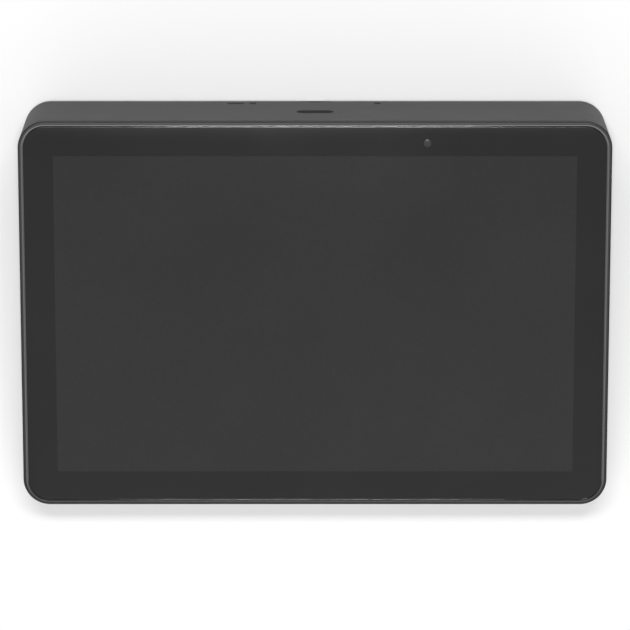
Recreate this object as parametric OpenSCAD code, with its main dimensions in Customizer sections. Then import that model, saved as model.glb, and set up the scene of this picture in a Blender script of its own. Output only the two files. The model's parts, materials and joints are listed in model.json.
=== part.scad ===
// Tabletop smart display: a wedge with a tilted touch screen, a weighted base and a cable bay
// under a hinged door. Millimetres, +Z up, +Y to the back, origin at the middle of the footprint
// on the surface that it stands on.

/* [Screen] */
// Width of the picture
active_w = 217; // [180:1:262]
// Height of the picture, measured along the slope
active_d = 135.6; // [113:0.1:164]
// Dark border of the glass round the picture
glass_border = 12.4; // [11:0.1:16]
// Thickness of the cover glass
glass_t = 1.1; // [0.8:0.1:1.4]
// Corner radius of the cover glass
glass_r = 9; // [8:0.1:12]
// Tilt of the screen from the table
tilt = 14; // [13:0.5:16]
// Width of the liquid crystal cell beyond the picture at the sides and the top
cell_margin = 2.5; // [1.5:0.1:3.5]
// Width of the liquid crystal cell beyond the picture at its front edge
cell_margin_front = 5; // [4:0.1:6]
// Thickness of the backlight module
backlight_t = 2.2; // [1.6:0.1:2.4]

/* [Case] */
// Height of the rim's front edge above the table
front_h = 10.5; // [10:0.1:16]
// Height of the lower edge of the housing above the table
seam_z = 6.5; // [6.5:0.1:7]
// Wall of the housing
wall_t = 2.2; // [1.8:0.1:2.7]
// Width of the rim's metal, from its outer face to the groove
rim_w = 1.7; // [1.5:0.1:2.4]
// Groove between the rim and the glass
groove = 0.4; // [0.2:0.1:0.6]
// Depth of the rim frame
rim_h = 3; // [2.8:0.1:3.2]
// Width of the chamfer on the rim's inner edge
rim_chamfer_w = 0.45; // [0.3:0.05:0.9]
// Depth of that chamfer
rim_chamfer_h = 0.16; // [0.1:0.02:0.6]
// Rounding of the rim's outer edge
rim_round = 0.6; // [0.3:0.1:0.8]
// Distance that the base stands inside the housing
base_inset = 1.2; // [0.8:0.1:1.8]
// Floor and walls of the base pan
pan_t = 2; // [1.8:0.1:2.4]
// Rounding of the base pan's lower edge
base_round = 1.8; // [1:0.1:2.2]
// Thickness of the ballast plate
ballast_t = 3; // [2:0.1:3]

/* [Feet] */
// Gap between the base and the table
foot_gap = 1.5; // [1:0.1:2]
// Width of the rubber feet
foot_w = 8; // [6:0.5:10]
// Depth of the feet's seats in the base
foot_seat = 0.8; // [0.4:0.1:1]

/* [Cable bay] */
// Width of the bay door
door_w = 89.2; // [74:0.1:96]
// Length of the bay door, from its hinge to the rear edge of the base
door_len = 58; // [50:0.5:70]
// Gap round the bay door
door_gap = 0.4; // [0.3:0.05:0.6]
// Inside height of the bay above the table
bay_top = 22.4; // [20:0.1:23]
// Wall of the bay tub
tub_t = 1.6; // [1.2:0.1:2]
// Radius of the arched cable exit
exit_r = 4.6; // [4:0.1:5.5]
// Height of the centre of the cable exit's arch
exit_z = 4.3; // [4:0.1:5]
// Distance from the middle to each latch window
latch_x = 26.3; // [22:0.1:28]
// Width of a latch window
latch_w = 2.7; // [2:0.1:3.4]
// Radius of the hinge pins
hinge_r = 0.8; // [0.8:0.05:1]
// Radial clearance of the hinge pins
hinge_clear = 0.08; // [0.04:0.01:0.1]

/* [Rear wall] */
// Distance of the security slot from the middle
lock_x = 33.5; // [33:0.1:40]
// Width of the security slot
lock_w = 7; // [6.8:0.1:7.4]
// Height of the security slot
lock_h = 3; // [2.8:0.1:3.4]
// Distance of the slot and windows up the wall from its lower edge
rear_cut_up = 4.9; // [4.5:0.1:5.5]
// Width of the blank badge
badge_w = 15.5; // [10:0.5:24]
// Height of the blank badge
badge_h = 6; // [4:0.5:8]
// Distance of the badge down the wall from the rim's face
badge_down = 22; // [16:0.5:26]

/* [Fasteners] */
// Radius of the base screws' shanks
base_screw_r = 1.45; // [1.2:0.05:1.6]
// Radius of the base screws' heads
base_head_r = 2.75; // [2.4:0.05:2.9]
// Radius of the thread inserts
insert_r = 2.1; // [2:0.05:2.3]
// Radius of the small screws' shanks
small_screw_r = 1; // [0.8:0.05:1.1]
// Radius of the small screws' heads
small_head_r = 2; // [1.8:0.05:2.2]

/* [Hidden] */
$fn = 64;
eps = 0.01;
fit = 0.05;
panel_gap = 0.3;

// Outlines worked out from the screen outward
glass_w = active_w + 2 * glass_border;
glass_d = active_d + 2 * glass_border;
rim_reach = 7;
rim_edge = rim_w + groove;
body_w = glass_w + 2 * rim_edge;
body_d = glass_d + 2 * rim_edge;
body_r = glass_r + rim_edge;

// Depths below the rim's face, measured square to the glass
glass_top = -0.3;
glass_low = glass_top - glass_t;
gasket_t = 0.3;
ledge_top = glass_low - gasket_t;
sensor_film_t = 0.4;
cell_top = glass_low - sensor_film_t;
cell_t = 1.3;
light_top = cell_top - cell_t;
light_low = light_top - backlight_t;
pad_t = 0.3;
plate_top = light_low - pad_t;
plate_t = 1;
plate_low = plate_top - plate_t;
tab_t = 2.5;
tab_low = plate_low - tab_t;

// Place of the screen's frame on the table's frame
glass_z = front_h + body_d / 2 * sin(tilt);
rear_wall_len = (glass_z + body_d / 2 * sin(tilt) - seam_z) / cos(tilt);
glass_y = -rear_wall_len * sin(tilt) / 2;
function table_y(y, z) = glass_y + y * cos(tilt) - z * sin(tilt);
function table_z(y, z) = glass_z + y * sin(tilt) + z * cos(tilt);
function slope_y(y, z) = (y - glass_y) * cos(tilt) + (z - glass_z) * sin(tilt);
function slope_z(y, z) = -(y - glass_y) * sin(tilt) + (z - glass_z) * cos(tilt);

// Base outline
rear_y = table_y(body_d / 2, -rear_wall_len);
front_y = table_y(-body_d / 2, 0) + (front_h - seam_z) * tan(tilt);
base_y0 = front_y + base_inset;
base_y1 = rear_y - base_inset;
base_w = body_w - 2 * base_inset;
base_d = base_y1 - base_y0;
base_mid = (base_y0 + base_y1) / 2;
base_r = body_r - base_inset;
floor_z = foot_gap + pan_t;

// Cable bay
hinge_y = base_y1 - door_len;
knuckle_r = 1.4;
hinge_z = foot_gap + knuckle_r;
ear_t = 4;
ear_h = 4;
ear_half = 2.6;
bay_half = door_w / 2 + door_gap;
tub_y0 = hinge_y - 3;
tub_top = bay_top + tub_t;
tub_gap = 0.17;
tub_y1 = rear_y - (tub_top - seam_z) * tan(tilt) - wall_t / cos(tilt) - tub_t - tub_gap;
tab_gap = 0.4;
tab_thick = 1.2;
tab_w = latch_w + 1;
rear_cut_z = rear_cut_up - rear_wall_len;
latch_h = 3;
latch_top_z = table_z(body_d / 2, rear_cut_z) + latch_h / 2 + 0.3;
tab_y = table_y(body_d / 2 - wall_t, slope_z(tub_y1, latch_top_z)) - tab_gap;

// Main board
board_t = 1.6;
board_z = 8;
board_w = 116;
board_d = 43;
board_y1 = tub_y0 - tub_t - panel_gap;
board_y0 = board_y1 - board_d;
board_top = board_z + board_t;
chip_t = 1.2;
heat_pad_t = 1;
can_t = 0.3;
can_h = chip_t + heat_pad_t + can_t;
can_w = 30;
can_d = 24;
spreader_t = 1.5;
spreader_w = 70;
spreader_d = 26;
spreader_inset = 6.4;
board_mid_y = (board_y0 + board_y1) / 2;
spreader_y = board_y0 + spreader_d / 2 + spreader_inset;
board_hole_x = board_w / 2 - 5;
board_hole_y = board_d / 2 - 5;
connector_y = board_y0 - 3.2;

// Screw places
frame_screw_x = body_w / 2 - 6.5;
frame_screw_y = [-active_d * 0.3, active_d * 0.07, active_d * 0.44];
base_screw_x = body_w / 2 - 6;
base_boss_r = 4;
base_boss_h = 4.4;
insert_h = 4;
side_screw_y = [base_y0 + 21.2, base_y0 + 64.5, base_y1 - 14.2];
rear_screw_x = door_w / 2 + 25.4;
base_screws_at = concat(
    [for (s = [-1, 1], y = side_screw_y) [s * base_screw_x, y]],
    [for (s = [-1, 1]) [s * rear_screw_x, base_y1 - 5.2]]
);
tub_ear_y = [tub_y0 + 12, tub_y1 - 12];
tub_ear_x = bay_half + tub_t + 4.4;
ballast_inner = board_w / 2 + 4;
ballast_outer = base_screw_x - base_boss_r - 2;
ballast_y0 = base_y0 + 19;
ballast_y1 = base_y1 - 26;
ballast_notch_y = board_y0 - 5.5;
ballast_screws_at = [for (s = [-1, 1], y = [ballast_y0 + 7, ballast_y1 - 7]) [s * (ballast_outer - 12), y]];
clamp_y = tub_y1 - 14;
clamp_w = 26;
clamp_d = 8;
clamp_z = 9.3;
clamp_screw_x = 9;
clamp_t = 3.7;
cable_r = 2.5;
sensor_x = active_w * 0.2143;
sensor_y = active_d / 2 + glass_border / 2 - 0.3;

graphite = [0.24, 0.24, 0.25];
black = [0.1, 0.1, 0.11];
steel = [0.72, 0.73, 0.75];
brass = [0.78, 0.62, 0.3];
board_green = [0.1, 0.3, 0.2];
amber = [0.75, 0.45, 0.12];

// ---- Shared shapes ----

// Children in the screen's frame: x across, y up the slope, z out of the glass
module on_slope() {
    translate([0, glass_y, glass_z]) rotate([tilt, 0, 0]) children();
}

// Children on the rear wall: x across, y up the wall with 0 at the rim's face, z outward
module on_rear_wall() {
    on_slope() translate([0, body_d / 2, 0]) rotate([90, 0, 0]) mirror([0, 0, 1]) children();
}

module rounded_rect(w, d, r) {
    square([w - 2 * r, d], center = true);
    square([w, d - 2 * r], center = true);
    for (x = [-1, 1], y = [-1, 1]) translate([x * (w / 2 - r), y * (d / 2 - r)]) circle(r);
}

module slot_shape(w, h) {
    r = h / 2;
    square([w - h, h], center = true);
    for (x = [-1, 1]) translate([x * (w / 2 - r), 0]) circle(r);
}

module plate(w, d, r, t) {
    linear_extrude(t) rounded_rect(w, d, r);
}

// Sweeps a profile round a rounded rectangle; the profile's x is the distance beyond its outline
module swept_ring(w, d, r) {
    for (i = [0:3]) {
        along_x = i % 2 == 0 ? w : d;
        along_y = i % 2 == 0 ? d : w;
        rotate(90 * i) {
            translate([along_x / 2 - r, along_y / 2 - r, 0])
                rotate_extrude(angle = 90) translate([r, 0]) children();
            translate([along_x / 2, along_y / 2 - r, 0])
                rotate([90, 0, 0]) linear_extrude(along_y - 2 * r) children();
        }
    }
}

module tube_wall(r_out, r_in, h) {
    difference() {
        cylinder(r = r_out, h = h);
        translate([0, 0, -eps]) cylinder(r = r_in, h = h + 2 * eps);
    }
}

// A pan-head screw: the head's underside at z = 0, its shank down, a cross recess on top
module screw(shank_r, head_r, head_h, length) {
    translate([0, 0, -length]) cylinder(r = shank_r, h = length);
    difference() {
        cylinder(r = head_r, h = head_h);
        for (a = [0, 90]) rotate(a) translate([-head_r * 0.55, -head_r * 0.13, head_h * 0.45])
            cube([head_r * 1.1, head_r * 0.26, head_h]);
    }
}

// A thin ribbon that follows points [y, z] in the screen's frame, w wide along x
module ribbon(points, w, t) {
    rotate([90, 0, 90]) translate([0, 0, -w / 2]) linear_extrude(w) {
        for (i = [0:len(points) - 2]) {
            run = points[i + 1] - points[i];
            translate(points[i]) rotate(atan2(run[1], run[0]))
                translate([0, -t / 2]) square([norm(run), t]);
        }
        for (p = points) translate(p) circle(t / 2);
    }
}

// ---- Screen ----

module rim_profile() {
    difference() {
        union() {
            translate([-rim_reach, -rim_h]) square([rim_reach - rim_round, rim_h + ledge_top]);
            translate([-rim_w, -rim_h]) square([rim_w, rim_h - rim_round]);
            translate([-rim_w, -rim_h]) square([rim_w - rim_round, rim_h]);
            translate([-rim_round, -rim_round]) circle(rim_round);
            translate([-wall_t - 1.5, -rim_h - 0.8]) square([1.3, 2]);
        }
        translate([-rim_w, 0]) polygon([
            [-rim_chamfer_w, -2 * rim_chamfer_h],
            [2 * rim_chamfer_w, rim_chamfer_h],
            [-rim_chamfer_w, rim_chamfer_h]
        ]);
    }
}

module rim_frame() {
    boss_r = 2.7;
    color(graphite) on_slope() difference() {
        union() {
            swept_ring(body_w, body_d, body_r) rim_profile();
            for (s = [-1, 1], y = frame_screw_y) translate([s * frame_screw_x, y, plate_top])
                cylinder(r = boss_r, h = -rim_h - plate_top + eps);
        }
        for (s = [-1, 1], y = frame_screw_y) translate([s * frame_screw_x, y, plate_top - eps])
            cylinder(r = small_screw_r + fit, h = -rim_h - plate_top + 0.8);
    }
}

module cover_glass() {
    color(black) on_slope() translate([0, 0, glass_low]) plate(glass_w, glass_d, glass_r, glass_t);
}

module glass_gasket() {
    inset = 1;
    width = rim_reach - rim_edge - inset - 0.4;
    outer_w = glass_w - 2 * inset;
    outer_d = glass_d - 2 * inset;
    color([0.16, 0.16, 0.16]) on_slope() translate([0, 0, ledge_top]) difference() {
        plate(outer_w, outer_d, glass_r - inset, gasket_t);
        translate([0, 0, -eps])
            plate(outer_w - 2 * width, outer_d - 2 * width, glass_r - inset - width, gasket_t + 2 * eps);
    }
}

// A part of the display stack, a margin beyond the picture on three sides and more at the front
module stack_part(margin, front_margin, t, r) {
    d = active_d + margin + front_margin;
    translate([0, (margin - front_margin) / 2, 0]) plate(active_w + 2 * margin, d, r, t);
}

module touch_sensor() {
    color([0.2, 0.22, 0.25]) on_slope() translate([0, 0, cell_top])
        stack_part(cell_margin + 1, cell_margin_front, sensor_film_t, 1);
}

module lcd_cell() {
    color([0.13, 0.13, 0.15]) on_slope() translate([0, 0, light_top])
        stack_part(cell_margin, cell_margin_front, cell_t, 0.6);
}

module lcd_backlight() {
    color(steel) on_slope() translate([0, 0, light_low])
        stack_part(cell_margin + 1.4, cell_margin_front + 1, backlight_t, 1.5);
}

module backlight_pads() {
    pad_w = 10;
    color([0.2, 0.2, 0.2]) on_slope() for (x = [-0.4, -0.13, 0.13, 0.4])
        translate([x * active_w, 0, plate_top]) plate(pad_w, active_d * 0.8, 2, pad_t);
}

module chassis_plate() {
    plate_w = active_w + 2 * (cell_margin + 1.4);
    ear_w = 9;
    pressing = 0.4;
    flex_gap = 60;
    color(steel) on_slope() difference() {
        union() {
            translate([0, 0, plate_low]) plate(plate_w, body_d - 14.6, 2, plate_t);
            for (s = [-1, 1], y = frame_screw_y) hull() {
                translate([s * frame_screw_x, y, plate_low]) cylinder(r = 3.2, h = plate_t, $fn = 32);
                translate([s * (plate_w / 2 - 6), y - ear_w / 2, plate_low]) cube([1, ear_w, plate_t]);
            }
        }
        for (s = [-1, 1], y = frame_screw_y) translate([s * frame_screw_x, y, plate_low - eps])
            cylinder(r = small_screw_r + 0.2, h = plate_t + 2 * eps);
        for (x = [-0.3, 0, 0.3], y = [-0.22, 0.22])
            translate([x * active_w, y * active_d, plate_low - eps])
                plate(active_w * 0.2, active_d * 0.26, 6, pressing);
        translate([0, -body_d / 2 + 7.3, plate_low + plate_t / 2])
            cube([flex_gap, 6, plate_t + 1], center = true);
    }
}

module sensor_board() {
    chip_gap = 0.1;
    carrier_t = 0.6;
    chip_h = 0.9;
    color(board_green) on_slope() {
        translate([sensor_x, sensor_y - 0.4, glass_low - chip_h - chip_gap - carrier_t])
            plate(16, 3, 0.5, carrier_t);
        translate([sensor_x, sensor_y - 0.4, glass_low - chip_h - chip_gap - eps])
            plate(3.4, 2.4, 0.3, chip_h + eps);
    }
}

flex_t = 0.2;
flex_start_y = -active_d / 2 - cell_margin_front - flex_t / 2;
flex_turn_y = rim_reach - body_d / 2 + 0.8;

// The way of a flex: out of its part's front edge, round the backlight and back to the board
function flex_way(start_z, drop) = [
    [flex_start_y, start_z],
    [flex_turn_y - drop, start_z - 0.8],
    [flex_turn_y - drop, plate_low - 0.2 - drop],
    [flex_turn_y + 2, plate_low - 0.5 - drop],
    [slope_y(connector_y - 12, board_top + 6), plate_low - 0.5 - drop],
    [slope_y(connector_y - 2, board_top + 1.2), slope_z(connector_y - 2, board_top + 1.2)],
    [slope_y(connector_y + 3.4, board_top + 1.2), slope_z(connector_y + 3.4, board_top + 1.2)]
];

module touch_flex() {
    color(amber) on_slope() translate([14, 0, 0])
        ribbon(flex_way(cell_top + sensor_film_t / 2, 0.3), 12, flex_t);
}

module lcd_flex() {
    color(amber) on_slope() translate([-14, 0, 0])
        ribbon(flex_way(light_top + cell_t / 2, 0), 24, flex_t);
}

// ---- Housing ----

module housing_shell() {
    depth = rear_wall_len + 20;
    difference() {
        on_slope() translate([0, 0, -rim_h - depth]) difference() {
            plate(body_w, body_d, body_r, depth);
            translate([0, 0, -eps])
                plate(body_w - 2 * wall_t, body_d - 2 * wall_t, body_r - wall_t, depth + 2 * eps);
        }
        translate([-body_w, -body_w, seam_z - body_w]) cube([2 * body_w, 2 * body_w, body_w]);
    }
}

module lock_pegs(r, h) {
    for (s = [-1, 1]) translate([-lock_x - 2.2 + s * 3.4, rear_cut_z + 7.2, -wall_t - h])
        cylinder(r = r, h = h);
}

module housing() {
    color(graphite) difference() {
        union() {
            housing_shell();
            for (p = base_screws_at) translate([p[0], p[1], seam_z]) cylinder(r = base_boss_r, h = base_boss_h);
            on_slope() for (s = [-1, 1], y = frame_screw_y)
                translate([s * (body_w / 2 - 6) - 4.5, y - 4.5, tab_low]) cube([9, 9, tab_t]);
            on_rear_wall() lock_pegs(1.2, 1.5 + eps);
            on_rear_wall() translate([0, 0, -1.5 - eps]) lock_pegs(1.9, 0.8);
        }
        for (p = base_screws_at) translate([p[0], p[1], seam_z - eps]) cylinder(r = insert_r, h = insert_h + 0.1);
        on_slope() for (s = [-1, 1], y = frame_screw_y)
            translate([s * frame_screw_x, y, tab_low - eps]) cylinder(r = small_screw_r + 0.2, h = tab_t + 1);
        on_rear_wall() {
            translate([-lock_x, rear_cut_z, -wall_t - 1])
                linear_extrude(wall_t + 2) rounded_rect(lock_w, lock_h, 1);
            for (s = [-1, 1]) translate([s * latch_x, rear_cut_z, -wall_t - 1])
                linear_extrude(wall_t + 2) rounded_rect(latch_w, latch_h, 0.4);
            translate([0, -badge_down, -0.4]) linear_extrude(1) slot_shape(badge_w + 0.1, badge_h + 0.1);
        }
        translate([0, rear_y + 5, exit_z]) rotate([90, 0, 0]) cylinder(r = exit_r, h = 20);
        outside_trim();
    }
}

// What a boss would put beyond the outer face of the prism
module outside_trim() {
    deep = body_w;
    on_slope() translate([0, 0, -deep]) difference() {
        plate(body_w + 40, body_d + 40, 5, deep - rim_h);
        translate([0, 0, -eps]) plate(body_w, body_d, body_r, deep);
    }
}

module blank_badge() {
    color(black) on_rear_wall() translate([0, -badge_down, -0.4])
        linear_extrude(0.4) slot_shape(badge_w, badge_h);
}

module lock_plate() {
    plate_w = 12.4;
    plate_h = 14;
    lock_t = 1.5;
    color(steel) on_rear_wall() difference() {
        translate([-lock_x - 2.2, rear_cut_z + 3.6, -wall_t - lock_t]) plate(plate_w, plate_h, 1, lock_t);
        translate([-lock_x, rear_cut_z, -wall_t - lock_t - 1])
            linear_extrude(lock_t + 2) rounded_rect(lock_w, lock_h, 1);
        translate([0, 0, 1]) lock_pegs(1.2 + fit, 4);
    }
}

// ---- Base ----

// The base's whole outline with its rounded lower edge, from the pan's underside to the seam
module base_slab() {
    h = seam_z - foot_gap;
    translate([0, base_mid, foot_gap]) {
        plate(base_w - 2 * base_round - 2, base_d - 2 * base_round - 2, base_r - base_round - 1, h);
        swept_ring(base_w, base_d, base_r) {
            translate([-base_round - 3, 0]) square([3, h]);
            translate([-base_round - 1, base_round]) square([base_round + 1, h - base_round]);
            translate([-base_round, base_round]) circle(base_round);
        }
    }
}

module bay_mouth(grow) {
    y0 = hinge_y - knuckle_r - 0.3;
    translate([-bay_half + grow, y0 + grow, foot_gap - 1]) cube([2 * (bay_half - grow), door_len + 30, 30]);
}

module foot(x, y, length, tall) {
    translate([x, y, 0]) linear_extrude(tall) slot_shape(length, foot_w);
}

front_foot_len = base_w - 46;
front_foot_y = base_y0 + 12;
rear_foot_len = base_w / 2 - bay_half - 17;
rear_foot_x = bay_half + 7 + rear_foot_len / 2;
rear_foot_y = base_y1 - 20;

module pan_posts(extra) {
    for (p = ballast_screws_at) translate([p[0], p[1], floor_z - eps])
        cylinder(r = 2.6 + extra, h = ballast_t + eps);
}

module base_pan() {
    pad_r = 4;
    color(graphite) difference() {
        union() {
            difference() {
                base_slab();
                translate([0, base_mid, floor_z])
                    plate(base_w - 2 * pan_t, base_d - 2 * pan_t, base_r - pan_t, 20);
            }
            intersection() {
                union() {
                    for (p = base_screws_at) translate([p[0], p[1], floor_z - eps])
                        cylinder(r = pad_r, h = seam_z - floor_z + eps);
                }
                translate([0, base_mid, foot_gap]) plate(base_w - 1, base_d - 1, base_r - 0.5, 20);
            }
            pan_posts(0);
            for (s = [-1, 1], y = tub_ear_y) translate([s * tub_ear_x, y, floor_z - eps])
                cylinder(r = 2.6, h = 3 + eps);
            for (s = [-1, 1], t = [-1, 1])
                translate([s * board_hole_x, board_mid_y + t * board_hole_y, floor_z - eps])
                    cylinder(r = 2.8, h = board_z - floor_z + eps);
            for (s = [-1, 1]) translate([s * (bay_half + ear_t / 2), hinge_y, foot_gap + ear_h / 2])
                cube([ear_t, 2 * ear_half, ear_h], center = true);
        }
        bay_mouth(0);
        for (p = base_screws_at) translate([p[0], p[1], 0]) {
            cylinder(r = base_screw_r + 0.2, h = seam_z + 1);
            cylinder(r = base_head_r + 0.3, h = floor_z);
        }
        for (p = ballast_screws_at) translate([p[0], p[1], floor_z - 0.8])
            cylinder(r = small_screw_r + fit, h = 20);
        for (s = [-1, 1], y = tub_ear_y) translate([s * tub_ear_x, y, floor_z - 0.8])
            cylinder(r = small_screw_r + fit, h = 20);
        for (s = [-1, 1], t = [-1, 1])
            translate([s * board_hole_x, board_mid_y + t * board_hole_y, floor_z - 0.8])
                cylinder(r = small_screw_r + fit, h = 20);
        for (s = [-1, 1]) translate([s * (bay_half + ear_t / 2), hinge_y, hinge_z]) rotate([0, 90, 0])
            cylinder(r = hinge_r + hinge_clear, h = ear_t + 2, center = true);
        foot(0, front_foot_y, front_foot_len + 0.2, foot_gap + foot_seat);
        for (s = [-1, 1]) foot(s * rear_foot_x, rear_foot_y, rear_foot_len + 0.2, foot_gap + foot_seat);
    }
}

module ballast_plate() {
    color([0.35, 0.35, 0.37]) difference() {
        translate([0, 0, floor_z]) linear_extrude(ballast_t) difference() {
            translate([0, (ballast_y0 + ballast_y1) / 2])
                rounded_rect(2 * ballast_outer, ballast_y1 - ballast_y0, 6);
            translate([-ballast_inner, ballast_notch_y]) square([2 * ballast_inner, base_d]);
        }
        pan_posts(0.2);
    }
}

module front_foot() {
    color(black) foot(0, front_foot_y, front_foot_len, foot_gap + foot_seat);
}

module rear_foot_left() {
    color(black) foot(-rear_foot_x, rear_foot_y, rear_foot_len, foot_gap + foot_seat);
}

module rear_foot_right() {
    color(black) foot(rear_foot_x, rear_foot_y, rear_foot_len, foot_gap + foot_seat);
}

// ---- Electronics ----

module at_board_corners() {
    for (s = [-1, 1], t = [-1, 1]) translate([s * board_hole_x, board_mid_y + t * board_hole_y, 0])
        children();
}

module at_spreader_feet() {
    for (s = [-1, 1]) translate([s * (spreader_w / 2 - 4), spreader_y, 0]) children();
}

module main_board() {
    color(board_green) difference() {
        translate([0, board_mid_y, board_z]) plate(board_w, board_d, 2, board_t);
        at_board_corners() translate([0, 0, board_z - 1]) cylinder(r = small_screw_r + 0.2, h = 10);
        at_spreader_feet() translate([0, 0, board_z - 1]) cylinder(r = small_screw_r + fit, h = 10);
    }
}

module processor() {
    color(black) translate([0, spreader_y, board_top]) plate(14, 14, 0.6, chip_t);
}

module thermal_pad() {
    color([0.55, 0.6, 0.7]) translate([0, spreader_y, board_top + chip_t]) plate(13, 13, 0.6, heat_pad_t);
}

module shield_can() {
    color(steel) translate([0, spreader_y, board_top]) difference() {
        plate(can_w, can_d, 1, can_h);
        translate([0, 0, -eps])
            plate(can_w - 2 * can_t, can_d - 2 * can_t, 1 - can_t, can_h - can_t + eps);
    }
}

module heat_spreader() {
    color([0.78, 0.79, 0.8]) difference() {
        union() {
            translate([0, spreader_y, board_top + can_h]) plate(spreader_w, spreader_d, 3, spreader_t);
            at_spreader_feet() translate([0, 0, board_top]) cylinder(r = 2.6, h = can_h + eps);
        }
        at_spreader_feet() translate([0, 0, board_top - eps]) cylinder(r = small_screw_r + 0.2, h = 10);
    }
}

module wireless_module() {
    color(steel) translate([board_w / 2 - 14, board_mid_y - 3, board_top]) plate(16, 20, 0.6, 2.2);
}

module flex_connectors() {
    color([0.9, 0.88, 0.82]) for (p = [[-14, 26], [14, 14]]) difference() {
        translate([p[0], board_y0 + 2.6, board_top]) plate(p[1], 4.4, 0.4, 2.2);
        translate([p[0], board_y0 - 0.4, board_top + 1.2]) cube([p[1] - 1.6, 6, 0.5], center = true);
    }
}

module board_parts() {
    color([0.3, 0.3, 0.32]) {
        for (i = [0:3]) translate([-board_w / 2 + 14, board_mid_y - 13 + i * 8.6, board_top])
            plate(6.4, 6.4, 1, 3);
        for (i = [0:4]) translate([-board_w / 2 + 4 + 3, board_mid_y - 12 + i * 6, board_top])
            cylinder(r = 1.9, h = 4.2);
        for (i = [0:4]) translate([board_w / 2 - 32 + i * 5.4, board_y1 - 6, board_top])
            plate(3.4, 2.4, 0.2, 1.4);
    }
}

// A metal socket shell whose mouth faces the bay, with a tongue inside
module socket(x, shell_w, shell_h, shell_d, shell_t, tongue_w, tongue_h, lift) {
    translate([x, tub_y0, board_top + lift + shell_h / 2]) rotate([90, 0, 0]) {
        difference() {
            linear_extrude(shell_d) rounded_rect(shell_w, shell_h, shell_h * 0.2);
            translate([0, 0, -eps]) linear_extrude(shell_d - 1.5)
                rounded_rect(shell_w - 2 * shell_t, shell_h - 2 * shell_t, shell_h * 0.2 - shell_t / 2);
        }
        translate([0, 0, 1]) linear_extrude(shell_d - 2) square([tongue_w, tongue_h], center = true);
    }
}
usb_x = -16;
hdmi_x = 16;
usb_size = [9, 3.2];
hdmi_size = [15, 5.5];

module usb_c_socket() {
    color(steel) socket(usb_x, usb_size[0], usb_size[1], 8, 0.35, 6.6, 0.7, 0);
}

module hdmi_socket() {
    color(steel) socket(hdmi_x, hdmi_size[0], hdmi_size[1], 12, 0.4, 11, 0.9, 0);
}

// ---- Cable bay ----

module bay_tub() {
    inner_d = tub_y1 - tub_y0;
    mid = (tub_y0 + tub_y1) / 2;
    h = tub_top - floor_z;
    ear_z = floor_z + 3;
    door_lift = 1.2;
    color(black) difference() {
        union() {
            difference() {
                translate([0, mid, floor_z]) plate(2 * (bay_half + tub_t), inner_d + 2 * tub_t, 3, h);
                translate([0, mid, floor_z - 1]) plate(2 * bay_half, inner_d, 2, h + 1 - tub_t);
            }
            translate([-clamp_w / 2, clamp_y - clamp_d / 2, clamp_z])
                cube([clamp_w, clamp_d, tub_top - clamp_z - tub_t + eps]);
            for (s = [-1, 1], y = tub_ear_y) {
                translate([s * tub_ear_x, y, ear_z]) cylinder(r = 3.4, h = tub_t);
                translate([s * (bay_half + tub_t + 2) - 2.4, y - 3.4, ear_z]) cube([4.8, 6.8, tub_t]);
            }
        }
        for (s = [-1, 1], y = tub_ear_y) translate([s * tub_ear_x, y, ear_z - 1])
            cylinder(r = small_screw_r + 0.2, h = 5);
        for (s = [-1, 1]) translate([s * (bay_half + ear_t / 2), hinge_y, foot_gap + ear_h / 2])
            cube([ear_t + 0.6, 2 * ear_half + 0.8, ear_h + 0.6], center = true);
        translate([-bay_half, tub_y0, floor_z - 1]) cube([2 * bay_half, inner_d + tub_t + 1, 1 + door_lift]);
        translate([-7, tub_y1 - 1, floor_z - 1]) cube([14, tub_t + 2, 7.5]);
        translate([-lock_x - 9, tub_y1 - 1, floor_z + 2.5]) cube([14.5, tub_t + 2, 15.5]);
        for (s = [[usb_x, usb_size], [hdmi_x, hdmi_size]])
            translate([s[0], tub_y0, board_top + s[1][1] / 2])
                cube([s[1][0] + 0.6, 4, s[1][1] + 0.6], center = true);
        translate([0, clamp_y + clamp_d, clamp_z]) rotate([90, 0, 0]) cylinder(r = cable_r, h = 2 * clamp_d);
        for (s = [-1, 1]) translate([s * clamp_screw_x, clamp_y, clamp_z - eps])
            cylinder(r = small_screw_r + fit, h = 8);
    }
}

module bay_door() {
    rib_h = 1.2;
    tab_h = latch_top_z - floor_z;
    lip_w = 14;
    lip_t = 1.4;
    lip_out = 0.2;
    color(graphite) difference() {
        union() {
            intersection() {
                base_slab();
                union() {
                    translate([-door_w / 2, hinge_y, 0]) cube([door_w, door_len, floor_z]);
                    translate([-door_w / 2, base_y1 - pan_t, 0]) cube([door_w, pan_t, seam_z - 0.3]);
                }
            }
            translate([-lip_w / 2, base_y1 - pan_t, floor_z - lip_t]) cube([lip_w, rear_y + lip_out - base_y1 + pan_t, lip_t]);
            translate([-door_w / 2, hinge_y, hinge_z]) rotate([0, 90, 0]) cylinder(r = knuckle_r, h = door_w);
            translate([-bay_half - ear_t + 0.6, hinge_y, hinge_z]) rotate([0, 90, 0])
                cylinder(r = hinge_r, h = 2 * (bay_half + ear_t - 0.6));
            for (s = [-1, 1]) {
                translate([s * latch_x - tab_w / 2, tab_y - tab_thick, floor_z - eps])
                    cube([tab_w, tab_thick, tab_h + eps]);
                translate([s * 18 - 0.6, hinge_y + 8, floor_z - eps]) cube([1.2, 34, rib_h + eps]);
                translate([s * 36 - 0.6, hinge_y + 8, floor_z - eps]) cube([1.2, 34, rib_h + eps]);
            }
        }
        translate([0, base_y1 + 2, exit_z]) rotate([90, 0, 0]) difference() {
            cylinder(r = exit_r, h = 8);
            translate([-10, -20 - exit_z + floor_z, -1]) cube([20, 20, 10]);
        }
        translate([0, base_y1 - 12, foot_gap - eps]) linear_extrude(0.7) slot_shape(26, 7);
    }
}

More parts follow.
